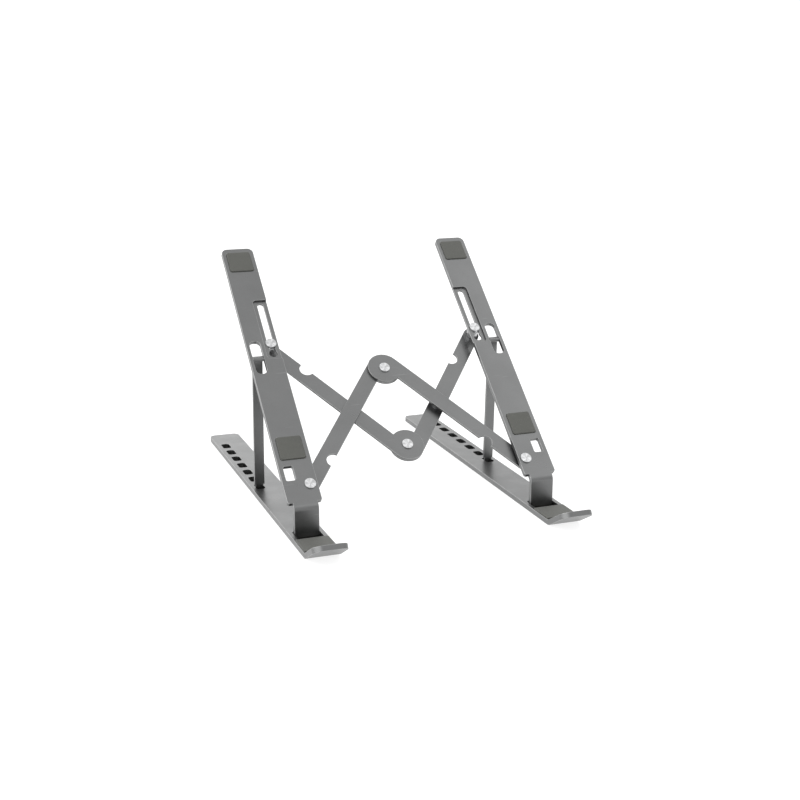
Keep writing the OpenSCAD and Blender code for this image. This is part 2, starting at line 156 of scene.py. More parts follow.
def shell_object(name, grid, wrap):
    """A closed shell from a grid of rings. Where the rings don't wrap round, a pole closes each end."""
    rings, count = grid.shape[:2]
    points = grid.reshape(-1, 3)
    quads = ring_faces(rings, count, wrap)
    quad_uv = ring_uv(rings, count, wrap)
    tris = np.empty((0, 3), int)
    tri_uv = np.empty((0, 3, 2))
    if not wrap:
        poles = np.array([grid[0].mean(0), grid[-1].mean(0)])
        j = np.arange(count)
        j2 = (j + 1) % count
        first, last = rings * count, rings * count + 1
        base = (rings - 1) * count
        points = np.concatenate([points, poles])
        tris = np.concatenate([
            np.stack([np.full(count, first), j2, j], axis=-1),
            np.stack([np.full(count, last), base + j, base + j2], axis=-1),
        ])
        u, u2 = j / count, (j + 1) / count
        mid = (u + u2) / 2
        zero, one = np.zeros(count), np.ones(count)
        tri_uv = np.concatenate([
            np.stack([np.stack([mid, zero], -1), np.stack([u2, zero], -1), np.stack([u, zero], -1)], 1),
            np.stack([np.stack([mid, one], -1), np.stack([u, one], -1), np.stack([u2, one], -1)], 1),
        ])
    volume = signed_volume(points, quads) + (signed_volume(points, tris) if len(tris) else 0)
    if volume < 0:
        quads, quad_uv = quads[:, ::-1], quad_uv[:, ::-1]
        tris, tri_uv = tris[:, ::-1], tri_uv[:, ::-1]
    mesh = bpy.data.meshes.new(name)
    mesh.from_pydata(points.tolist(), [], quads.tolist() + tris.tolist())
    uv = mesh.uv_layers.new(name=UV_NAME)
    uv.data.foreach_set("uv", np.concatenate([quad_uv.reshape(-1), tri_uv.reshape(-1)]))
    mesh.shade_smooth()
    made = bpy.data.objects.new(name, mesh)
    bpy.context.scene.collection.objects.link(made)
    return made


def arc_points(centre, radius, start, end, steps):
    """Points of an arc: the centre plus the radius times the cosine and sine of an even run of angles."""
    a = np.radians(np.linspace(start, end, steps))
    return np.stack([centre[0] + radius * np.cos(a), centre[1] + radius * np.sin(a)], axis=-1)


def run_points(start, end, steps):
    """Even points of a straight run, without its two ends."""
    t = np.linspace(0, 1, steps + 2)[1:-1, None]
    return np.array(start) * (1 - t) + np.array(end) * t


# --- Shapes --------------------------------------------------------------------------------------

def turned_grid(profile, centre, axes, count):
    """A turned shape: each profile point (radius, height) is swept round the third axis in even steps."""
    a = 2 * np.pi * np.arange(count) / count
    r, h = profile[:, :1], profile[:, 1:]
    local = np.stack([
        centre[0] + r * np.cos(a),
        centre[1] + r * np.sin(a),
        h + np.zeros((1, count)),
    ], axis=-1)
    return local @ axes


def rounded_outline(half_x, half_y, corner, corner_steps, side_steps):
    """A rectangle with round corners about the middle: four quarter arcs and the runs between them."""
    parts = []
    for k, (sx, sy) in enumerate(((1, 1), (-1, 1), (-1, -1), (1, -1))):
        centre = (sx * (half_x - corner), sy * (half_y - corner))
        parts.append(arc_points(centre, corner, 90 * k, 90 * k + 90, corner_steps))
        nx, ny = ((-1, 1), (-1, -1), (1, -1), (1, 1))[k]
        following = np.array([nx * (half_x - corner), ny * (half_y - corner)])
        following = following + corner * np.array([math.cos(math.radians(90 * k + 90)),
                                                   math.sin(math.radians(90 * k + 90))])
        parts.append(run_points(parts[-1][-1], following, side_steps))
    return np.concatenate(parts)


def moulded_grid(low, high, corner, roll, crown, axes):
    """A moulded pad: a round-cornered outline carried up a section that goes from a flat underside up a
    straight side, over a quarter round of radius roll, and up to the middle of a crowned top. On the top
    the height falls from the middle by crown times the square of the share of the way to the rim."""
    half = (high - low) / 2
    middle = (high + low) / 2
    outline = rounded_outline(half[0], half[1], corner, 7, 6)
    inner = rounded_outline(half[0] - roll, half[1] - roll, max(corner - roll, 0.1 * MM), 7, 6)
    outward = outline - inner
    rim_height = high[2] - crown - roll
    under = [inner * s for s in (0.25, 0.6, 0.9)]
    rings = [np.c_[p, np.full(len(p), low[2])] for p in under]
    for a in np.radians(np.linspace(-90, 0, 4)):
        drop = 0.3 * roll
        rings.append(np.c_[outline - outward * 0.3 * (1 - math.cos(a)),
                           np.full(len(outline), low[2] + drop * (1 + math.sin(a)))])
    for a in np.radians(np.linspace(0, 90, 6)):
        rings.append(np.c_[inner + outward * math.cos(a),
                           np.full(len(outline), rim_height + roll * math.sin(a))])
    for s in (0.92, 0.8, 0.62, 0.42, 0.2):
        rings.append(np.c_[inner * s, np.full(len(inner), high[2] - crown * s * s)])
    grid = np.array(rings) + np.array([middle[0], middle[1], 0])
    return grid @ axes


# --- Shader node helpers -------------------------------------------------------------------------

def add_node(tree, kind, label, **values):
    """A node with its settings, and with the values of its inputs given by name."""
    node = tree.nodes.new(kind)
    node.label = label
    for key, value in values.items():
        if key in node.inputs:
            node.inputs[key].default_value = value
        else:
            setattr(node, key, value)
    return node


def join(tree, source, target):
    """A link between two sockets."""
    tree.links.new(source, target)


def new_group(name, inputs, outputs):
    """An empty shader node group with named inputs, given as (name, type, default), and named outputs."""
    tree = bpy.data.node_groups.new(name, "ShaderNodeTree")
    for label, kind, default in inputs:
        socket = tree.interface.new_socket(name=label, in_out="INPUT", socket_type=kind)
        if default is not None:
            socket.default_value = default
    for label, kind in outputs:
        tree.interface.new_socket(name=label, in_out="OUTPUT", socket_type=kind)
    enter = tree.nodes.new("NodeGroupInput")
    leave = tree.nodes.new("NodeGroupOutput")
    return tree, enter.outputs, leave.inputs


def place_group(tree, group, label, **values):
    """The node group placed in a material, with its own values."""
    node = tree.nodes.new("ShaderNodeGroup")
    node.node_tree = group
    node.label = label
    for key, value in values.items():
        node.inputs[key.replace("_", " ")].default_value = value
    return node


def maths(tree, operation, a, b, label):
    """A Math node on two sockets or numbers, which gives its result."""
    node = add_node(tree, "ShaderNodeMath", label, operation=operation)
    for k, value in enumerate((a, b)):
        if isinstance(value, (int, float)):
            node.inputs[k].default_value = value
        else:
            join(tree, value, node.inputs[k])
    return node.outputs[0]


def remap(tree, value, low, high, to_low, to_high, label):
    """A Map Range node, clamped, which gives its result."""
    node = add_node(tree, "ShaderNodeMapRange", label)
    for key, number in (("From Min", low), ("From Max", high), ("To Min", to_low), ("To Max", to_high)):
        node.inputs[key].default_value = number
    join(tree, value, node.inputs["Value"])
    return node.outputs["Result"]


def mix_colour(tree, factor, a, b, label, blend="MIX"):
    """A Mix node on two colours, each a socket or a colour, which gives its result."""
    node = tree.nodes.new("ShaderNodeMix")
    node.label = label
    node.data_type = "RGBA"
    node.blend_type = blend
    sockets = {"Factor": node.inputs[0], "A": node.inputs[6], "B": node.inputs[7]}
    for key, value in (("Factor", factor), ("A", a), ("B", b)):
        if isinstance(value, bpy.types.NodeSocket):
            join(tree, value, sockets[key])
        elif key == "Factor":
            sockets[key].default_value = value
        else:
            sockets[key].default_value = (*value, 1)
    return node.outputs[2]


def noise(tree, vector, scale, detail, roughness, label):
    """A Noise Texture node, which gives its value from 0 to 1."""
    node = add_node(tree, "ShaderNodeTexNoise", label, Scale=scale, Detail=detail, Roughness=roughness)
    join(tree, vector, node.inputs["Vector"])
    return node.outputs["Fac"]


def blast_group():
    """Bead-blasted grain: fine dimples, a coarser orange peel, and slow clouds in the tone of the dye."""
    tree, enter, leave = new_group(
        "Blasted grain",
        [("Vector", "NodeSocketVector", None), ("Grain size", "NodeSocketFloat", 0.3 * MM)],
        [("Height", "NodeSocketFloat"), ("Clouds", "NodeSocketFloat"), ("Sparkle", "NodeSocketFloat")],
    )
    fine_scale = maths(tree, "DIVIDE", 1.0, enter["Grain size"], "cells per metre")
    dimples = add_node(tree, "ShaderNodeTexVoronoi", "dimples", feature="SMOOTH_F1")
    dimples.inputs["Smoothness"].default_value = 0.6
    join(tree, enter["Vector"], dimples.inputs["Vector"])
    join(tree, fine_scale, dimples.inputs["Scale"])
    peel = add_node(tree, "ShaderNodeTexNoise", "orange peel", Detail=3.0, Roughness=0.55)
    join(tree, enter["Vector"], peel.inputs["Vector"])
    join(tree, maths(tree, "MULTIPLY", fine_scale, 0.28, "coarser"), peel.inputs["Scale"])
    height = maths(tree, "ADD", maths(tree, "MULTIPLY", dimples.outputs["Distance"], 0.65, "dimple share"),
                   maths(tree, "MULTIPLY", peel.outputs["Fac"], 0.5, "peel share"), "height")
    join(tree, height, leave["Height"])
    join(tree, noise(tree, enter["Vector"], 38.0, 4.0, 0.55, "dye clouds"), leave["Clouds"])
    sparkle = add_node(tree, "ShaderNodeTexNoise", "sparkle", Detail=1.0, Roughness=0.5)
    join(tree, enter["Vector"], sparkle.inputs["Vector"])
    join(tree, fine_scale, sparkle.inputs["Scale"])
    join(tree, sparkle.outputs["Fac"], leave["Sparkle"])
    return tree


def wear_group():
    """Wear along the broken edges: the edge mark, made patchy by noise, from none to full."""
    tree, enter, leave = new_group(
        "Edge wear",
        [
            ("Vector", "NodeSocketVector", None),
            ("Mark", "NodeSocketFloat", 0.0),
            ("Amount", "NodeSocketFloat", 0.6),
        ],
        [("Mask", "NodeSocketFloat")],
    )
    patches = noise(tree, enter["Vector"], 160.0, 4.0, 0.6, "patches")
    patchy = remap(tree, patches, 0.32, 0.6, 0.45, 1.0, "patchy")
    worn = maths(tree, "MULTIPLY", enter["Mark"], patchy, "worn")
    mask = maths(tree, "MULTIPLY", worn, enter["Amount"], "amount")
    join(tree, mask, leave["Mask"])
    return tree


def handling_group():
    """Handling marks: smudges that change the gloss, and a few short fine scratches."""
    tree, enter, leave = new_group(
        "Handling marks",
        [("Vector", "NodeSocketVector", None)],
        [("Smudges", "NodeSocketFloat"), ("Scratches", "NodeSocketFloat")],
    )
    cloudy = noise(tree, enter["Vector"], 60.0, 5.0, 0.62, "smudges")
    smudges = remap(tree, cloudy, 0.42, 0.72, 0.0, 1.0, "smudge mask")
    join(tree, smudges, leave["Smudges"])
    stretch = add_node(tree, "ShaderNodeMapping", "long and thin")
    stretch.inputs["Rotation"].default_value = (0.3, 0.2, 0.5)
    stretch.inputs["Scale"].default_value = (60.0, 1600.0, 900.0)
    join(tree, enter["Vector"], stretch.inputs["Vector"])
    lines = noise(tree, stretch.outputs["Vector"], 1.0, 1.0, 0.4, "lines")
    join(tree, remap(tree, lines, 0.74, 0.80, 0.0, 1.0, "few scratches"), leave["Scratches"])
    return tree


class Finishes:
    """The node groups and materials, each built once and then shared."""

    groups = {}
    made = {}

    @classmethod
    def group(cls, name, build):
        if name not in cls.groups:
            cls.groups[name] = build()
        return cls.groups[name]


def new_material(name):
    """A material with only a Principled shader and its output."""
    material = bpy.data.materials.new(name)
    material.use_nodes = True
    tree = material.node_tree
    tree.nodes.clear()
    shader = add_node(tree, "ShaderNodeBsdfPrincipled", name)
    output = tree.nodes.new("ShaderNodeOutputMaterial")
    join(tree, shader.outputs["BSDF"], output.inputs["Surface"])
    place = tree.nodes.new("ShaderNodeTexCoord")
    return material, tree, shader, place.outputs["Object"]


def add_bump(tree, height, strength, distance, shader, label):
    """A Bump node from a height to the shader's normal."""
    node = add_node(tree, "ShaderNodeBump", label, Strength=strength, Distance=distance)
    join(tree, height, node.inputs["Height"])
    join(tree, node.outputs["Normal"], shader.inputs["Normal"])


def anodised(name, colour, metal):
    """Bead-blasted, anodised aluminium: satin metal with blasted grain, slow clouds in the dye, smudges,
    fine scratches, and bare metal showing along the broken edges."""
    if name in Finishes.made:
        return Finishes.made[name]
    material, tree, shader, where = new_material(name)
    grain = place_group(tree, Finishes.group("blast", blast_group), "grain", Grain_size=metal.grain_size)
    wear = place_group(tree, Finishes.group("wear", wear_group), "edge wear", Amount=metal.edge_wear)
    marks = place_group(tree, Finishes.group("handling", handling_group), "handling")
    for group in (grain, wear, marks):
        join(tree, where, group.inputs["Vector"])
    mark = add_node(tree, "ShaderNodeAttribute", "edge mark", attribute_name=EDGE_MARK)
    join(tree, mark.outputs["Fac"], wear.inputs["Mark"])
    dark = tuple(c * (1 - metal.tone_change) for c in colour)
    light = tuple(min(1.0, c * (1 + metal.tone_change)) for c in colour)
    clouds = remap(tree, grain.outputs["Clouds"], 0.3, 0.7, 0.0, 1.0, "clouds")
    dyed = mix_colour(tree, clouds, dark, light, "dye")
    speck = remap(tree, grain.outputs["Sparkle"], 0.3, 0.75, 0.94, 1.07, "speck")
    specked = mix_colour(tree, 1.0, dyed, speck, "specked", blend="MULTIPLY")
    bare = mix_colour(tree, wear.outputs["Mask"], specked, tuple(metal.bare_colour), "bare edges")
    scratched = mix_colour(tree, maths(tree, "MULTIPLY", marks.outputs["Scratches"], 0.14, "scratch share"),
                           bare, tuple(metal.bare_colour), "scratches")
    join(tree, scratched, shader.inputs["Base Color"])
    shader.inputs["Metallic"].default_value = 1.0
    clean = metal.roughness + 0.03
    smudged = metal.roughness - 0.05
    gloss = remap(tree, marks.outputs["Smudges"], 0.0, 1.0, clean, smudged, "gloss")
    uneven = maths(tree, "ADD", gloss,
                   remap(tree, grain.outputs["Sparkle"], 0.2, 0.8, -0.05, 0.05, "uneven gloss"), "with grain")
    polished = maths(tree, "MULTIPLY", wear.outputs["Mask"], 0.12, "polished")
    worn = maths(tree, "SUBTRACT", uneven, polished, "roughness")
    join(tree, worn, shader.inputs["Roughness"])
    height = maths(tree, "SUBTRACT", grain.outputs["Height"],
                   maths(tree, "MULTIPLY", marks.outputs["Scratches"], 0.4, "cut"), "surface")
    add_bump(tree, height, metal.grain_strength, metal.grain_depth, shader, "grain")
    Finishes.made[name] = material
    return material


def turned_metal(name, colour, rivet):
    """Bright turned metal: the shader's stretched highlight follows the turning marks round the axis, with
    rings of uneven gloss and a faint grime in the grooves. A painted highlight is added too: bright and dark
    wedges round the axis are painted into the colour in place of the stretched highlight."""
    if name in Finishes.made:
        return Finishes.made[name]
    material, tree, shader, where = new_material(name)
    uv = add_node(tree, "ShaderNodeUVMap", "round the axis", uv_map=UV_NAME)
    along = add_node(tree, "ShaderNodeTangent", "turning direction", direction_type="UV_MAP", uv_map=UV_NAME)
    join(tree, along.outputs["Tangent"], shader.inputs["Tangent"])
    stretch = add_node(tree, "ShaderNodeMapping", "rings")
    stretch.inputs["Scale"].default_value = (1.5, 260.0, 1.0)
    join(tree, uv.outputs["UV"], stretch.inputs["Vector"])
    rings = noise(tree, stretch.outputs["Vector"], 1.0, 2.0, 0.6, "ring noise")
    patches = noise(tree, where, 900.0, 3.0, 0.55, "patches")
    # Painted highlight: noise round the axis makes bright and dark wedges in the colour, where a turned head
    # would show its stretched highlight
    painted_highlight_fan = add_node(tree, "ShaderNodeMapping", "painted_highlight_sectors")
    painted_highlight_fan.inputs["Scale"].default_value = (9.0, 0.8, 1.0)
    join(tree, uv.outputs["UV"], painted_highlight_fan.inputs["Vector"])
    painted_highlight_sectors = noise(tree, painted_highlight_fan.outputs["Vector"], 1.0, 1.0, 0.5, "painted highlight noise")
    # The tone is the ring tone times the painted highlight wedges
    tone = maths(tree, "MULTIPLY", remap(tree, rings, 0.3, 0.7, 0.88, 1.0, "ring tone"),
                 remap(tree, painted_highlight_sectors, 0.36, 0.62, 0.72, 1.12, "painted highlight tone"), "tone")
    toned = mix_colour(tree, 1.0, colour, tone, "toned", blend="MULTIPLY")
    grime = remap(tree, patches, 0.5, 0.75, 0.0, 0.22, "grime")
    grimy = mix_colour(tree, grime, toned, tuple(0.55 * c for c in colour), "grime")
    join(tree, grimy, shader.inputs["Base Color"])
    shader.inputs["Metallic"].default_value = 1.0
    shader.inputs["Anisotropic"].default_value = rivet.stretch
    low, high = rivet.roughness - 0.05, rivet.roughness + 0.07
    join(tree, remap(tree, rings, 0.25, 0.75, low, high, "gloss"), shader.inputs["Roughness"])
    add_bump(tree, rings, 0.25, 0.01 * MM, shader, "turning marks")
    Finishes.made[name] = material
    return material


def ground_steel(name, colour):
    """Ground steel of the plain pins: fine lines round the pin and a little grime."""
    if name in Finishes.made:
        return Finishes.made[name]
    material, tree, shader, where = new_material(name)
    stretch = add_node(tree, "ShaderNodeMapping", "lines round the pin")
    stretch.inputs["Scale"].default_value = (9000.0, 700.0, 700.0)
    join(tree, where, stretch.inputs["Vector"])
    lines = noise(tree, stretch.outputs["Vector"], 1.0, 2.0, 0.6, "lines")
    grime = remap(tree, noise(tree, where, 700.0, 3.0, 0.6, "grime"), 0.45, 0.7, 0.0, 0.5, "grime share")
    toned = mix_colour(tree, lines, tuple(0.85 * c for c in colour), colour, "tone")
    join(tree, mix_colour(tree, grime, toned, (0.2, 0.19, 0.18), "with grime"), shader.inputs["Base Color"])
    shader.inputs["Metallic"].default_value = 1.0
    join(tree, remap(tree, lines, 0.25, 0.75, 0.22, 0.38, "gloss"), shader.inputs["Roughness"])
    add_bump(tree, lines, 0.3, 0.01 * MM, shader, "ground lines")
    Finishes.made[name] = material
    return material


def silicone(name, colour, pad):
    """Moulded silicone: matt and slightly mottled, with a fine spark-eroded texture, dust that settles in it,
    and a soft sheen at grazing angles."""
    if name in Finishes.made:
        return Finishes.made[name]
    material, tree, shader, where = new_material(name)
    blast = Finishes.group("blast", blast_group)
    grain = place_group(tree, blast, "mould texture", Grain_size=pad.texture_size)
    join(tree, where, grain.inputs["Vector"])
    clouds = remap(tree, grain.outputs["Clouds"], 0.3, 0.7, 0.0, 1.0, "mottle")
    body = mix_colour(tree, clouds, tuple(0.93 * c for c in colour), tuple(1.07 * c for c in colour), "body")
    dust = remap(tree, noise(tree, where, 2600.0, 3.0, 0.65, "dust"), 0.6, 0.8, 0.0, 0.32, "dust share")
    dusty = mix_colour(tree, dust, body, (0.42, 0.41, 0.39), "dusty")
    join(tree, dusty, shader.inputs["Base Color"])
    smooth = pad.roughness - 0.07
    rough = pad.roughness + 0.07
    gloss = remap(tree, grain.outputs["Sparkle"], 0.25, 0.75, smooth, rough, "gloss")
    join(tree, gloss, shader.inputs["Roughness"])
    shader.inputs["Specular IOR Level"].default_value = 0.4
    shader.inputs["Sheen Weight"].default_value = 0.12
    shader.inputs["Sheen Roughness"].default_value = 0.4
    add_bump(tree, grain.outputs["Height"], 0.5, pad.texture_depth, shader, "mould texture")
    Finishes.made[name] = material
    return material


def lit_table(name, colour, glow):
    """A matt white table that is lit from below, with barely seen fibres: what it gives off itself keeps
    the shadows on it faint."""
    material, tree, shader, where = new_material(name)
    fibres = noise(tree, where, 420.0, 4.0, 0.6, "fibres")
    shade = tuple(0.985 * c for c in colour)
    join(tree, mix_colour(tree, fibres, shade, tuple(colour), "white"), shader.inputs["Base Color"])
    shader.inputs["Emission Color"].default_value = (1, 1, 1, 1)
    shader.inputs["Emission Strength"].default_value = glow
    shader.inputs["Roughness"].default_value = 0.9
    shader.inputs["Specular IOR Level"].default_value = 0.1
    add_bump(tree, fibres, 0.1, 0.05 * MM, shader, "fibres")
    return material


# --- Settings ------------------------------------------------------------------------------------

def length(name, description, default, low, high):
    """A length in metres that a user may change."""
    return bpy.props.FloatProperty(
        name=name, description=description, default=default, min=low, max=high,
        subtype="DISTANCE", unit="LENGTH", precision=5,
    )


def share(name, description, default, low=0.0, high=1.0):
    """A number from 0 to 1 that a user may change."""
    return bpy.props.FloatProperty(
        name=name, description=description, default=default, min=low, max=high, subtype="FACTOR",
    )


def colour(name, description, default):
    """A colour that a user may change."""
    return bpy.props.FloatVectorProperty(
        name=name, description=description, default=default, min=0.0, max=1.0, size=3, subtype="COLOR",
    )


class StandMetal(bpy.types.PropertyGroup):
    """Sizes and colours of the anodised bars, arms, links and legs."""

    arm_colour: colour("Arms", "Colour of the rest arms", (0.163, 0.165, 0.165))
    base_colour: colour("Bases", "Colour of the base bars", (0.163, 0.165, 0.165))
    link_colour: colour("Links", "Colour of the scissor links", (0.163, 0.165, 0.165))
    leg_colour: colour("Legs", "Colour of the prop legs", (0.163, 0.165, 0.165))
    bare_colour: colour("Bare metal", "Colour of the metal under the dye", (0.5, 0.5, 0.5))
    edge_break: length("Edge break", "Width of the broken edges", 0.25 * MM, 0.02 * MM, 0.6 * MM)
    grain_size: length("Grain size", "Size of a blasted dimple", 0.22 * MM, 0.05 * MM, 2 * MM)
    grain_depth: length("Grain depth", "Depth of a blasted dimple", 0.012 * MM, 0.0, 0.2 * MM)
    grain_strength: share("Grain strength", "How much the grain bends the light", 0.35)
    roughness: share("Roughness", "Roughness of the satin finish", 0.34)
    tone_change: share("Tone change", "How far the dye's tone wanders", 0.05)
    edge_wear: share("Edge wear", "How much bare metal shows along the edges", 0.4)


class StandRivets(bpy.types.PropertyGroup):
    """Sizes and colours of the turned rivets, spacers and pins."""

    rivet_colour: colour("Rivets", "Colour of the turned heads", (0.62, 0.625, 0.63))
    pin_colour: colour("Pins", "Colour of the hinge pins", slot_colour("pin_steel"))
    ring_pitch: length("Ring pitch", "Distance between turning marks", 0.24 * MM, 0.1 * MM, 1 * MM)
    ring_depth: length("Ring depth", "Depth of a turning mark", 0.012 * MM, 0.0, 0.1 * MM)
    dish: length("Dish", "Depth of the hollow in a head", 0.15 * MM, 0.0, 0.4 * MM)
    rim: length("Rim", "Radius of the rounded rim", 0.22 * MM, 0.05 * MM, 0.4 * MM)
    roughness: share("Roughness", "Roughness of the turned metal", 0.34)
    stretch: share("Stretch", "How far the highlights stretch across the turning marks", 0.9)
    points_round: bpy.props.IntProperty(
        name="Points round", description="Points round a turned part", default=72, min=12, max=256)


class StandPads(bpy.types.PropertyGroup):
    """Sizes and colours of the silicone pads."""

    pad_colour: colour("Pads", "Colour of the silicone", (0.066, 0.0675, 0.06))
    corner: length("Corner", "Corner radius of the rest and tray pads", 1.5 * MM, 0.5 * MM, 3 * MM)
    foot_corner: length("Foot corner", "Corner radius of the foot pads", 3 * MM, 0.5 * MM, 6 * MM)
    crown: length("Crown", "How far the middle of a rest pad stands above its rim", 0.16 * MM, 0.0, 0.5 * MM)
    roll: length("Edge round", "Radius of the rounded upper edge", 0.45 * MM, 0.1 * MM, 0.8 * MM)
    texture_size: length("Texture size", "Size of the mould texture", 0.3 * MM, 0.05 * MM, 2 * MM)
    texture_depth: length("Texture depth", "Depth of the mould texture", 0.02 * MM, 0.0, 0.2 * MM)
    roughness: share("Roughness", "Roughness of the silicone", 0.62)


class StandStudio(bpy.types.PropertyGroup):
    """The table, the light and the camera."""

    table_colour: colour("Table", "How much light the table throws back", (0.33, 0.33, 0.33))
    glow: bpy.props.FloatProperty(
        name="Glow", description="Strength of the light from below", default=0.82, min=0.0)
    sky: bpy.props.FloatProperty(name="Sky", description="Strength of the even light", default=1.06, min=0.0)
    right_box: share("Right box", "Extra light from the upper right, as a share of the sky", 0.6, high=4.0)
    left_box: share("Left box", "Extra light from the left, as a share of the sky", 1.4, high=4.0)
    rear_panel: share("Rear panel", "Extra light from behind, as a share of the sky", 0.65, high=4.0)
    front_strip: share("Front strip", "Extra light from high in front, as a share of the sky", 0.5, high=4.0)
    front_dim: share("Front dim", "How much darker the sky is in front of the stand", 0.15)
    key: bpy.props.FloatProperty(
        name="Key", description="Power of the main light, in watts", default=1.2, min=0.0)
    lens: bpy.props.FloatProperty(
        name="Lens", description="Focal length of the camera, in millimetres", default=57.91, min=10.0)


# --- Making the pieces ---------------------------------------------------------------------------

def finish_piece(made, node, material):
    """Gives a new piece its finish and slot, sets it on its node's body, and hides the node."""
    made.data.materials.clear()
    made.data.materials.append(material)
    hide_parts(node)
    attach(made, body_of(node))
    return made


def hard_edges(bm, limit):
    """The outward edges that turn by more than limit, in radians."""
    return [e for e in bm.edges if e.is_manifold and e.is_convex and e.calc_face_angle(0.0) > limit]


def finished_plate(node, name, edge):
    """A plate cut from the CAD solid: its triangles are merged and joined into flat faces, each outward
    hard edge is broken to a small round, and the broken faces are marked for the wear."""
    bm = bmesh.new()
    bm.from_mesh(frame["nodes"][node].data)
    bmesh.ops.remove_doubles(bm, verts=bm.verts, dist=0.001 * MM)
    bmesh.ops.dissolve_limit(
        bm, angle_limit=math.radians(0.4), use_dissolve_boundaries=False,
        verts=bm.verts, edges=bm.edges, delimit=set(),
    )
    bm.normal_update()
    mark = bm.faces.layers.float.new(EDGE_MARK)
    broken = bmesh.ops.bevel(
        bm, geom=hard_edges(bm, math.radians(48)), offset=edge, offset_type="OFFSET", segments=3,
        profile=0.5, affect="EDGES", clamp_overlap=False,
    )
    for face in broken["faces"]:
        face[mark] = 1.0
    for face in bm.faces:
        face.smooth = True
    for e in bm.edges:
        e.smooth = not (e.is_manifold and e.calc_face_angle(0.0) > math.radians(40))
    mesh = bpy.data.meshes.new(name)
    bm.to_mesh(mesh)
    bm.free()
    made = bpy.data.objects.new(name, mesh)
    bpy.context.scene.collection.objects.link(made)
    shade = made.modifiers.new("flat faces stay flat", "WEIGHTED_NORMAL")
    shade.keep_sharp = True
    shade.weight = 80
    return made


def turned_size(node):
    """The middle, heights and radii of a turned CAD node that stands square to the arms: where its shank
    starts and ends, and the radii of its shank and of its two ends."""
    low, high = node_box(node, ARM_FACE)
    points = node_points(node, ARM_FACE)
    centre = (low[:2] + high[:2]) / 2
    radius = np.hypot(*(points[:, :2] - centre).T)
    shank = radius[radius > 0.5 * MM].min()
    held = points[np.abs(radius - shank) < 0.02 * MM, 2]
    return {
        "centre": centre, "top": high[2], "bottom": low[2],
        "shank_top": held.max(), "shank_bottom": held.min(), "shank": shank,
        "head": radius[points[:, 2] > held.max() - 0.01 * MM].max(),
        "tail": radius[points[:, 2] < held.min() + 0.01 * MM].max(),
    }


def turned_end(outer, level, face, dish, rim, pitch, depth):
    """The end of a turned part from its middle out to its rim. The face's height is its level, less a
    hollow that falls as a cosine towards the middle, less rings that rise and fall as a cosine of the
    radius; then a quarter round of radius rim. face is 1 for an upward end and -1 for a downward one."""
    flat = outer - rim
    r = np.linspace(0.04, 1.0, 60) * flat
    hollow = dish * 0.5 * (1 + np.cos(np.pi * np.clip(r / (0.45 * outer), 0, 1)))
    rings = depth * 0.5 * (1 - np.cos(2 * np.pi * r / pitch)) * (r > 0.12 * outer)
    top = np.stack([r, level - face * (hollow + rings)], axis=-1)
    a = np.radians(np.linspace(90, 0, 7))[1:]
    edge = np.stack([flat + rim * np.cos(a), level - face * rim * (1 - np.sin(a))], axis=-1)
    return np.concatenate([top, edge])


def rivet_profile(size, rivet):
    """Section of a rivet from the middle of its head, down its shank, to the middle of its tail."""
    inside = 0.02 * MM
    rings = (rivet.rim, rivet.ring_pitch, rivet.ring_depth)
    parts = []
    if size["head"] > size["shank"] + 0.1 * MM:
        parts.append(turned_end(size["head"], size["top"], 1, rivet.dish, *rings))
        parts.append([[size["head"] - inside, size["shank_top"]]])
        parts.append([[size["shank"] + inside, size["shank_top"]]])
    else:
        parts.append(turned_end(size["shank"], size["top"], 1, 0, 0.1 * MM, rivet.ring_pitch, 0))
    parts.append([
        [size["shank"], size["shank_top"] - inside],
        [size["shank"], size["shank_bottom"] + inside],
    ])
    tail = turned_end(size["tail"], size["bottom"], -1, rivet.dish * 0.6, *rings)
    parts.append([[size["shank"] + inside, size["shank_bottom"]]])
    parts.append([[size["tail"] - inside, size["shank_bottom"]]])
    parts.append(tail[::-1])
    return np.concatenate([np.array(p, float) for p in parts])


def ring_profile(inner, outer, low, high, edge):
    """Section of a spacer: a rectangle whose outer corners are quarter rounds."""
    return np.concatenate([
        run_points((inner, low), (outer - edge, low), 2),
        arc_points((outer - edge, low + edge), edge, -90, 0, 5),
        run_points((outer, low + edge), (outer, high - edge), 2),
        arc_points((outer - edge, high - edge), edge, 0, 90, 5),
        run_points((outer - edge, high), (inner, high), 2),
        arc_points((inner + 0.3 * edge, high - 0.3 * edge), 0.3 * edge, 90, 180, 3),
        run_points((inner, high - edge), (inner, low + edge), 2),
        arc_points((inner + 0.3 * edge, low + 0.3 * edge), 0.3 * edge, 180, 270, 3),
    ])


def sharpen(made, limit):
    """Marks the edges that turn by more than limit degrees, so that the rest shades smoothly."""
    made.data.set_sharp_from_angle(angle=math.radians(limit))


class STAND_OT_base_bars(bpy.types.Operator):
    """Finishes the two base bars with their hooks, hinge slots and height notches"""

    bl_idname = "stand.base_bars"
    bl_label = "Base bars"
    bl_options = {"REGISTER", "UNDO"}

    def execute(self, context):
        metal = context.scene.stand_metal
        for side in SIDES:
            made = finished_plate(f"base_{side}", f"base_bar_{side}", metal.edge_break)
            finish = anodised("anodised base bar", tuple(metal.base_colour), metal)
            finish_piece(made, f"base_{side}", finish)
        return {"FINISHED"}


class STAND_OT_rest_arms(bpy.types.Operator):
    """Finishes the two rest arms with their hinge tabs, windows, pockets and guide slots"""

    bl_idname = "stand.rest_arms"
    bl_label = "Rest arms"
    bl_options = {"REGISTER", "UNDO"}

    def execute(self, context):
        metal = context.scene.stand_metal
        for side in SIDES:
            made = finished_plate(f"rest_arm_{side}", f"arm_plate_{side}", metal.edge_break)
            finish = anodised("anodised rest arm", tuple(metal.arm_colour), metal)
            finish_piece(made, f"rest_arm_{side}", finish)
        return {"FINISHED"}


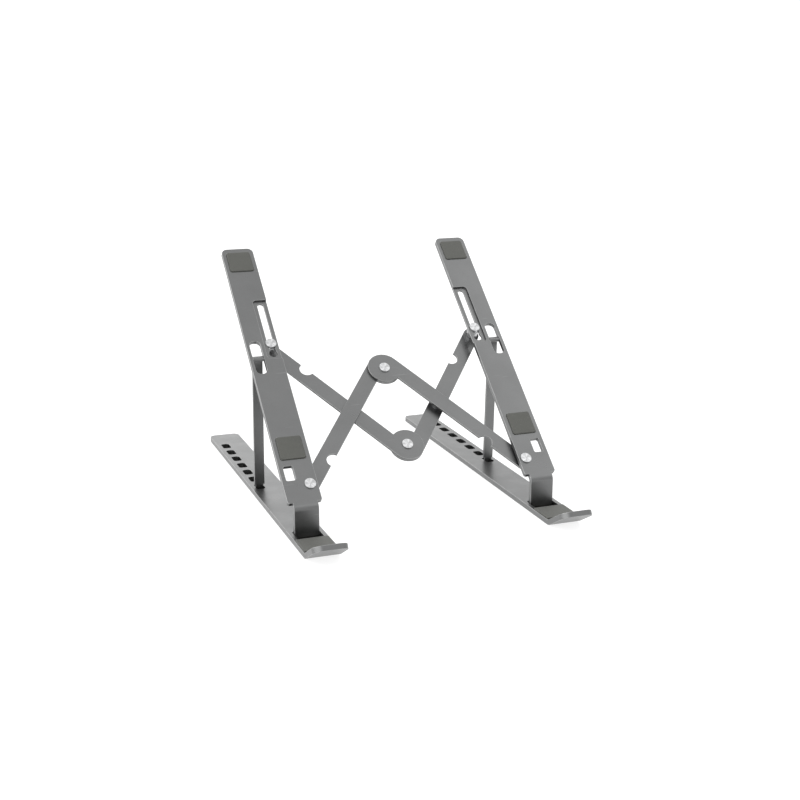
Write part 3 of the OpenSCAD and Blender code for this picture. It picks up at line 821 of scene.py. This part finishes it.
class STAND_OT_prop_legs(bpy.types.Operator):
    """Finishes the two prop legs"""

    bl_idname = "stand.prop_legs"
    bl_label = "Prop legs"
    bl_options = {"REGISTER", "UNDO"}

    def execute(self, context):
        metal = context.scene.stand_metal
        for side in SIDES:
            made = finished_plate(f"support_leg_{side}", f"prop_leg_{side}", metal.edge_break * 0.7)
            finish = anodised("anodised prop leg", tuple(metal.leg_colour), metal)
            finish_piece(made, f"support_leg_{side}", finish)
        return {"FINISHED"}


class STAND_OT_links(bpy.types.Operator):
    """Finishes the four links of the scissor"""

    bl_idname = "stand.links"
    bl_label = "Scissor links"
    bl_options = {"REGISTER", "UNDO"}

    def execute(self, context):
        metal = context.scene.stand_metal
        for side in SIDES:
            for kind in ("pivot", "slider"):
                node = f"{kind}_link_{side}"
                made = finished_plate(node, f"{kind}_strip_{side}", metal.edge_break * 0.8)
                finish = anodised("anodised link", tuple(metal.link_colour), metal)
                finish_piece(made, node, finish)
        return {"FINISHED"}


class STAND_OT_rivets(bpy.types.Operator):
    """Turns the rivets of the scissor, with dished heads and turning marks"""

    bl_idname = "stand.rivets"
    bl_label = "Rivets"
    bl_options = {"REGISTER", "UNDO"}

    def execute(self, context):
        rivet = context.scene.stand_rivets
        nodes = [f"{kind}_rivet_{side}" for kind in ("pivot", "slider", "cross") for side in SIDES]
        for node in nodes + ["centre_rivet_upper", "centre_rivet_lower"]:
            size = turned_size(node)
            grid = turned_grid(rivet_profile(size, rivet), size["centre"], ARM_FACE, rivet.points_round)
            made = shell_object(f"turned_{node}", grid, wrap=False)
            sharpen(made, 50)
            metal = turned_metal("turned rivet", tuple(rivet.rivet_colour), rivet)
            finish_piece(made, node, metal)
        return {"FINISHED"}


class STAND_OT_spacers(bpy.types.Operator):
    """Turns the spacers between the arms and the links, and finishes the hinge pins"""

    bl_idname = "stand.spacers"
    bl_label = "Spacers and pins"
    bl_options = {"REGISTER", "UNDO"}

    def execute(self, context):
        rivet = context.scene.stand_rivets
        nodes = [f"{kind}_spacer_{side}" for kind in ("pivot", "slider") for side in SIDES]
        for node in nodes + ["cross_spacer_right"]:
            low, high = node_box(node, ARM_FACE)
            centre = (low[:2] + high[:2]) / 2
            radius = np.hypot(*(node_points(node, ARM_FACE)[:, :2] - centre).T)
            profile = ring_profile(radius.min(), radius.max(), low[2], high[2], 0.25 * MM)
            grid = turned_grid(profile, centre, ARM_FACE, rivet.points_round)
            made = shell_object(f"turned_{node}", grid, wrap=True)
            sharpen(made, 50)
            metal = turned_metal("turned rivet", tuple(rivet.rivet_colour), rivet)
            finish_piece(made, node, metal)
        steel = ground_steel("ground pin", tuple(rivet.pin_colour))
        for side in SIDES:
            for node in (f"base_hinge_pin_{side}", f"leg_hinge_pin_{side}"):
                slots = frame["nodes"][node].data.materials
                slots.clear()
                slots.append(steel)
        return {"FINISHED"}


class STAND_OT_pads(bpy.types.Operator):
    """Moulds the silicone pads of the arms, the trays and the feet; the dark foot pads also stand in for the
    shade seen through the hinge slots and the height notches
    """

    bl_idname = "stand.pads"
    bl_label = "Silicone pads"
    bl_options = {"REGISTER", "UNDO"}

    def execute(self, context):
        pad = context.scene.stand_pads
        finish = silicone("silicone", tuple(pad.pad_colour), pad)
        for side in SIDES:
            for level in ("upper", "lower"):
                self.mould(f"{level}_pad_{side}", pad.corner, pad.roll, pad.crown, ARM_FACE, finish)
            self.mould(f"tray_pad_{side}", 1.0 * MM, pad.roll * 0.6, pad.crown * 0.3, FACE_UP, finish)
            # The foot pads run under the hinge slot and the height notches: they are real feet, and their
            # dark silicone there is also a painted shade, standing in for the shade seen through those
            # openings
            for spot in ("front", "mid", "rear"):
                upside_down = FACE_UP * [[1], [-1], [-1]]
                self.mould(f"foot_pad_{spot}_{side}", pad.foot_corner, 0.2 * MM, 0.0, upside_down, finish)
        return {"FINISHED"}

    def mould(self, node, corner, roll, crown, axes, finish):
        low, high = node_box(node, axes)
        made = shell_object(f"moulded_{node}", moulded_grid(low, high, corner, roll, crown, axes), wrap=False)
        sharpen(made, 60)
        finish_piece(made, node, finish)


# The key light's diameter and place, and the point it looks at, in metres
KEY_SIZE = 0.9
KEY_PLACE = (0.95, 0.1, 1.15)
LIT_POINT = (0.0, 0.0, 0.07)
# The camera's place in metres, and the way it looks
CAMERA_PLACE = (-0.28510, -0.79496, 0.28678)
CAMERA_AHEAD = (0.33923, 0.90385, -0.26072)


class STAND_OT_studio(bpy.types.Operator):
    """Makes the lit table, the even sky, the key light and the camera"""

    bl_idname = "stand.studio"
    bl_label = "Studio"
    bl_options = {"REGISTER", "UNDO"}

    def execute(self, context):
        studio = context.scene.stand_studio
        self.floor(studio)
        self.sky(context.scene, studio)
        self.light("key", studio.key, KEY_SIZE, KEY_PLACE)
        self.camera(context.scene, studio)
        return {"FINISHED"}

    def floor(self, studio):
        """A wide sheet that runs level under the stand: a grid of points, as even steps across and along."""
        reach, steps = 6.0, 25
        run = np.linspace(-reach, reach, steps)
        x, y = np.meshgrid(run, run, indexing="ij")
        points = np.stack([x, y, np.zeros_like(x)], axis=-1).reshape(-1, 3)
        i = np.arange(steps - 1)[:, None] * steps + np.arange(steps - 1)[None, :]
        faces = np.stack([i, i + steps, i + steps + 1, i + 1], axis=-1).reshape(-1, 4)
        mesh = bpy.data.meshes.new("studio_floor")
        mesh.from_pydata(points.tolist(), [], faces.tolist())
        made = bpy.data.objects.new("studio_floor", mesh)
        bpy.context.scene.collection.objects.link(made)
        mesh.materials.append(lit_table("lit table", tuple(studio.table_colour), studio.glow))

    def sky(self, scene, studio):
        """Even white light from all round, with brighter panels and a dimmer front. Each panel is the
        product of ramps along the direction's X, Y or Z."""
        world = bpy.data.worlds.new("studio")
        world.use_nodes = True
        tree = world.node_tree
        tree.nodes.clear()
        where = tree.nodes.new("ShaderNodeTexCoord")
        parts = tree.nodes.new("ShaderNodeSeparateXYZ")
        join(tree, where.outputs["Generated"], parts.inputs["Vector"])
        panels = (
            ("upper right box", studio.right_box, (("X", 0.05, 0.75), ("Z", 0.25, 0.85))),
            ("left box", studio.left_box, (("X", -0.4, -0.65),)),
            ("rear panel", studio.rear_panel, (("Y", 0.55, 0.85), ("X", 0.55, 0.2))),
            ("front strip", studio.front_strip, (("Y", -0.2, -0.45), ("Z", 0.6, 0.78))),
            ("dim front", -studio.front_dim, (("Y", -0.1, -1.0),)),
        )
        level = 1.0
        for label, amount, ramps in panels:
            panel = amount
            for axis, start, end in ramps:
                ramp = remap(tree, parts.outputs[axis], start, end, 0.0, 1.0, label)
                panel = maths(tree, "MULTIPLY", ramp, panel, label)
            level = maths(tree, "ADD", panel, level, label)
        background = tree.nodes.new("ShaderNodeBackground")
        background.inputs["Color"].default_value = (1, 1, 1, 1)
        join(tree, maths(tree, "MULTIPLY", level, studio.sky, "strength"), background.inputs["Strength"])
        output = tree.nodes.new("ShaderNodeOutputWorld")
        join(tree, background.outputs["Background"], output.inputs["Surface"])
        scene.world = world

    def light(self, name, power, size, place):
        """A round soft light that looks at the middle of the stand."""
        lamp = bpy.data.lights.new(name, "AREA")
        lamp.energy = power
        lamp.shape = "DISK"
        lamp.size = size
        made = bpy.data.objects.new(name, lamp)
        bpy.context.scene.collection.objects.link(made)
        made.location = place
        aim = Vector(LIT_POINT) - Vector(place)
        made.rotation_euler = aim.to_track_quat("-Z", "Y").to_euler()

    def camera(self, scene, studio):
        """A camera in front and to the left, a little above the stand."""
        data = bpy.data.cameras.new("camera")
        data.lens = studio.lens
        data.sensor_width = 36.0
        data.clip_start, data.clip_end = 0.02, 30.0
        made = bpy.data.objects.new("camera", data)
        scene.collection.objects.link(made)
        made.location = CAMERA_PLACE
        ahead = Vector(CAMERA_AHEAD)
        made.rotation_euler = ahead.to_track_quat("-Z", "Y").to_euler()
        scene.camera = made
        scene.view_settings.view_transform = "Standard"


class STAND_PT_panel(bpy.types.Panel):
    """Lists the parts of the stand"""

    bl_idname = "STAND_PT_panel"
    bl_label = "Folding laptop stand"
    bl_space_type = "VIEW_3D"
    bl_region_type = "UI"
    bl_category = "Stand"

    def draw(self, context):
        layout = self.layout
        for title, group in SETTINGS.items():
            box = layout.box()
            box.label(text=title.replace("stand_", "").capitalize())
            settings = getattr(context.scene, title)
            for key in group.__annotations__:
                box.prop(settings, key)
        for step in STEPS:
            layout.operator(step.bl_idname)


SETTINGS = {
    "stand_metal": StandMetal,
    "stand_rivets": StandRivets,
    "stand_pads": StandPads,
    "stand_studio": StandStudio,
}
STEPS = (
    STAND_OT_base_bars,
    STAND_OT_rest_arms,
    STAND_OT_prop_legs,
    STAND_OT_links,
    STAND_OT_rivets,
    STAND_OT_spacers,
    STAND_OT_pads,
    STAND_OT_studio,
)


def register():
    for group in SETTINGS.values():
        bpy.utils.register_class(group)
    for title, group in SETTINGS.items():
        setattr(bpy.types.Scene, title, bpy.props.PointerProperty(type=group))
    for step in STEPS:
        bpy.utils.register_class(step)
    bpy.utils.register_class(STAND_PT_panel)


def unregister():
    bpy.utils.unregister_class(STAND_PT_panel)
    for step in reversed(STEPS):
        bpy.utils.unregister_class(step)
    for title, group in reversed(SETTINGS.items()):
        delattr(bpy.types.Scene, title)
        bpy.utils.unregister_class(group)


def main():
    register()
    for step in STEPS:
        area, action = step.bl_idname.split(".")
        getattr(getattr(bpy.ops, area), action)()


if __name__ == "__main__":
    main()
